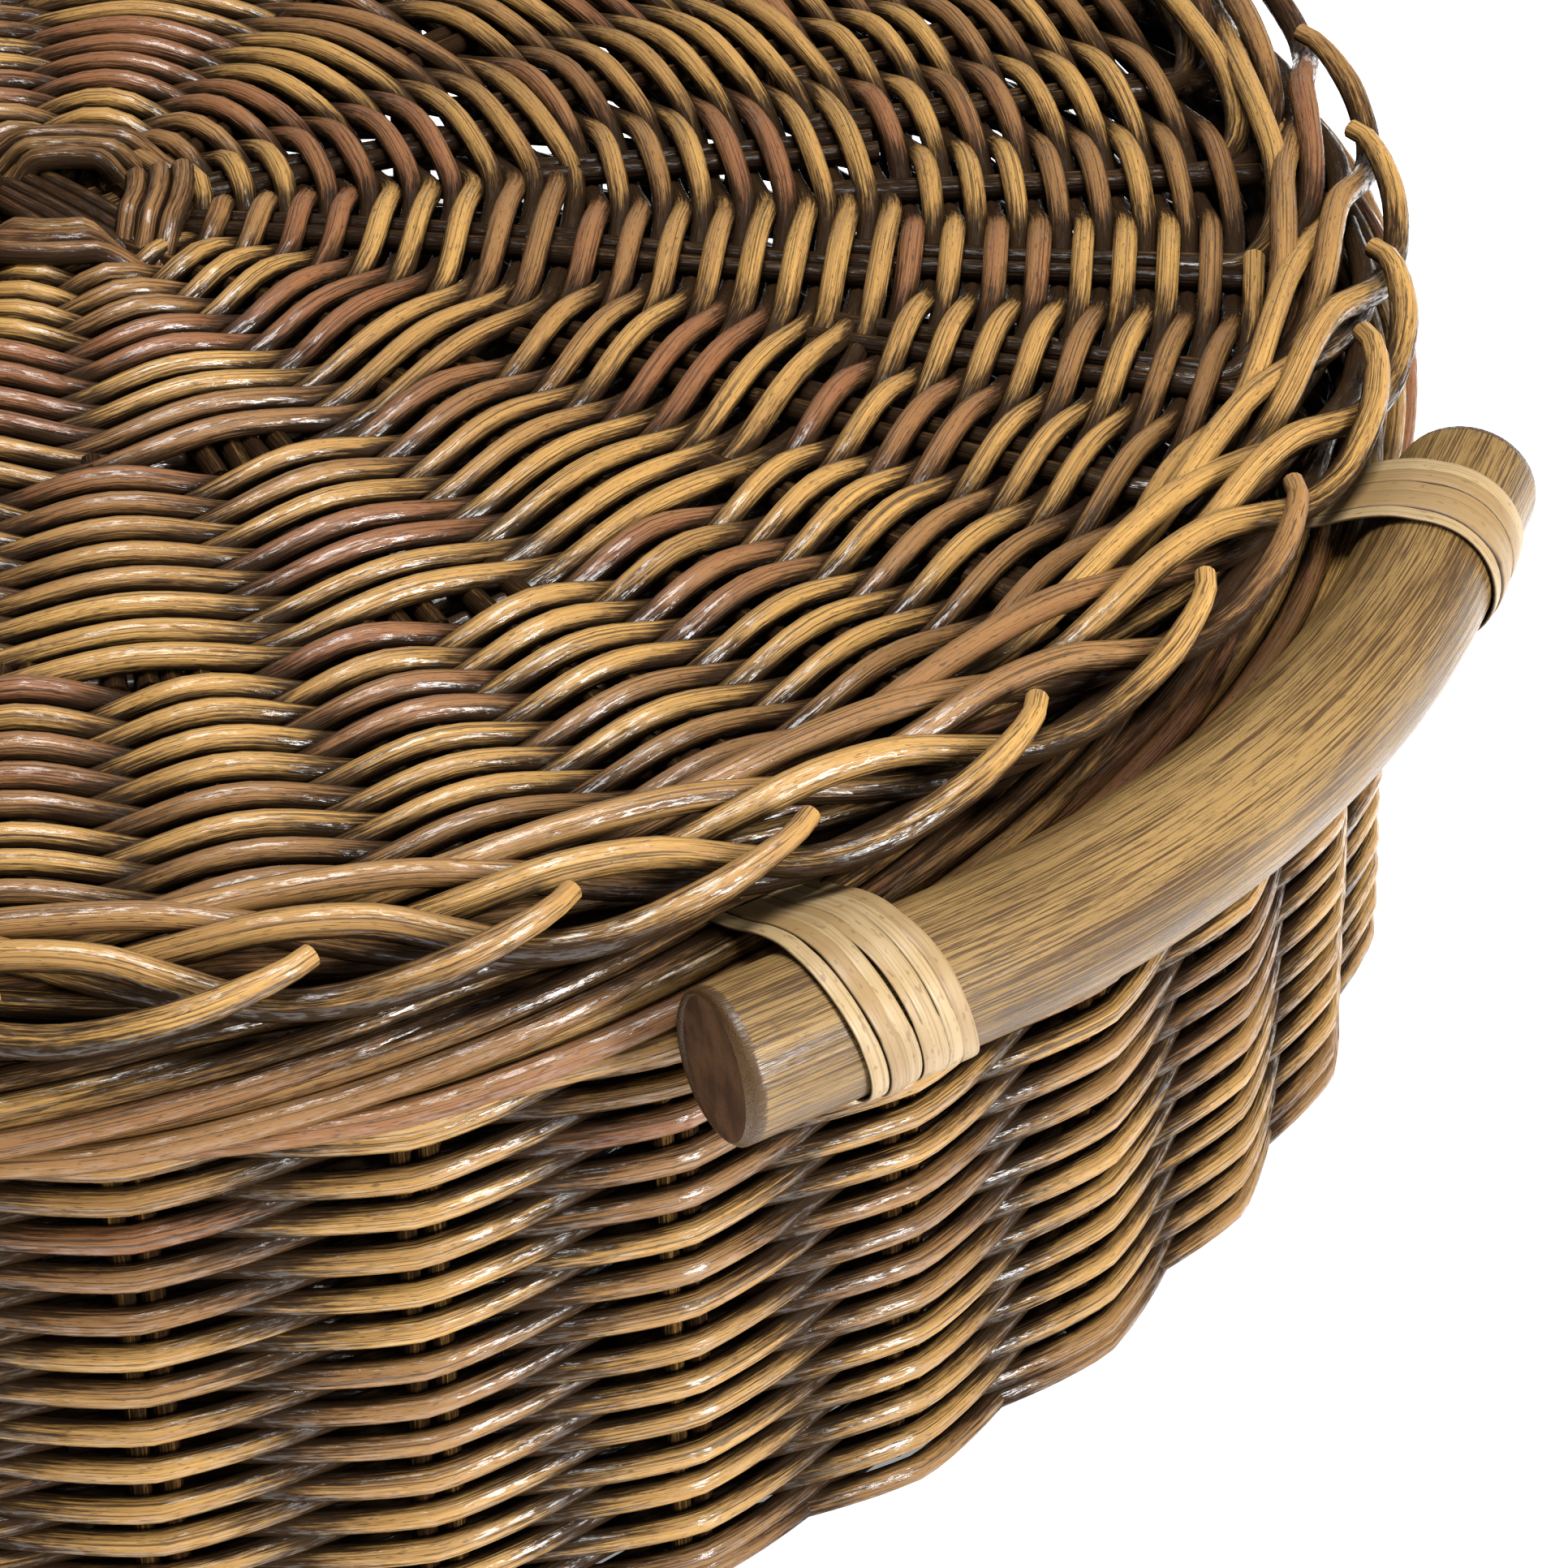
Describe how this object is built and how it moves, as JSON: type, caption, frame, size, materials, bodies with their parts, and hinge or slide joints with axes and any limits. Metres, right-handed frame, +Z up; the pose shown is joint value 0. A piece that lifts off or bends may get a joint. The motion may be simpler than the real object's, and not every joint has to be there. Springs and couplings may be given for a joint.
{
  "type": "lidded wicker basket",
  "caption": "Low round lidded wicker basket in stained rattan core, with rolled borders, a flat lift-off lid and bent cane side handles bound on with flat rattan peel.",
  "frame": {"origin": "on the floor under the centre of the basket's base", "axes": "+Z up out of the lid; +X through the middle of the right handle; +Y at right angles to both handles"},
  "size_m": [0.601, 0.551, 0.153],
  "materials": {
    "rattan_weavers": "stained rattan core with a satin lacquer",
    "rattan_stakes": "dark stained rattan core",
    "cane_pole": "antiqued solid cane with a semi-gloss lacquer",
    "rattan_peel": "pale flat rattan peel, satin"
  },
  "bodies": {
    "basket": {"base_cross_lower": "rattan_stakes", "base_cross_upper": "rattan_stakes", "base_weave": "rattan_weavers", "wall_weave": "rattan_weavers", "wall_stake_01": "rattan_stakes", "wall_stake_02": "rattan_stakes", "wall_stake_03": "rattan_stakes", "wall_stake_04": "rattan_stakes", "wall_stake_05": "rattan_stakes", "wall_stake_06": "rattan_stakes", "wall_stake_07": "rattan_stakes", "wall_stake_08": "rattan_stakes", "wall_stake_09": "rattan_stakes", "wall_stake_10": "rattan_stakes", "wall_stake_11": "rattan_stakes", "wall_stake_12": "rattan_stakes", "wall_stake_13": "rattan_stakes", "wall_stake_14": "rattan_stakes", "wall_stake_15": "rattan_stakes", "wall_stake_16": "rattan_stakes", "wall_stake_17": "rattan_stakes", "wall_stake_18": "rattan_stakes", "wall_stake_19": "rattan_stakes", "wall_stake_20": "rattan_stakes", "wall_stake_21": "rattan_stakes", "wall_stake_22": "rattan_stakes", "wall_stake_23": "rattan_stakes", "wall_stake_24": "rattan_stakes", "wall_stake_25": "rattan_stakes", "wall_stake_26": "rattan_stakes", "wall_stake_27": "rattan_stakes", "wall_stake_28": "rattan_stakes", "wall_stake_29": "rattan_stakes", "wall_stake_30": "rattan_stakes", "wall_stake_31": "rattan_stakes", "wall_stake_32": "rattan_stakes", "wall_stake_33": "rattan_stakes", "wall_stake_34": "rattan_stakes", "wall_stake_35": "rattan_stakes", "wall_stake_36": "rattan_stakes", "rim_border": "rattan_weavers", "handle_right_pole": "cane_pole", "handle_right_binding_a": "rattan_peel", "handle_right_binding_b": "rattan_peel", "handle_left_pole": "cane_pole", "handle_left_binding_a": "rattan_peel", "handle_left_binding_b": "rattan_peel"},
    "lid": {"lid_cross_lower": "rattan_stakes", "lid_cross_upper": "rattan_stakes", "lid_weave": "rattan_weavers", "lid_border": "rattan_weavers", "lid_hoop": "rattan_stakes", "lid_hoop_tie_1": "rattan_peel", "lid_hoop_tie_2": "rattan_peel", "lid_hoop_tie_3": "rattan_peel", "lid_hoop_tie_4": "rattan_peel"}
  },
  "joints": [
    {"name": "lid_lift", "type": "slide", "parent": "basket", "child": "lid", "axis": [0, 0, 1], "range_m": [0, 0.08]}
  ]
}
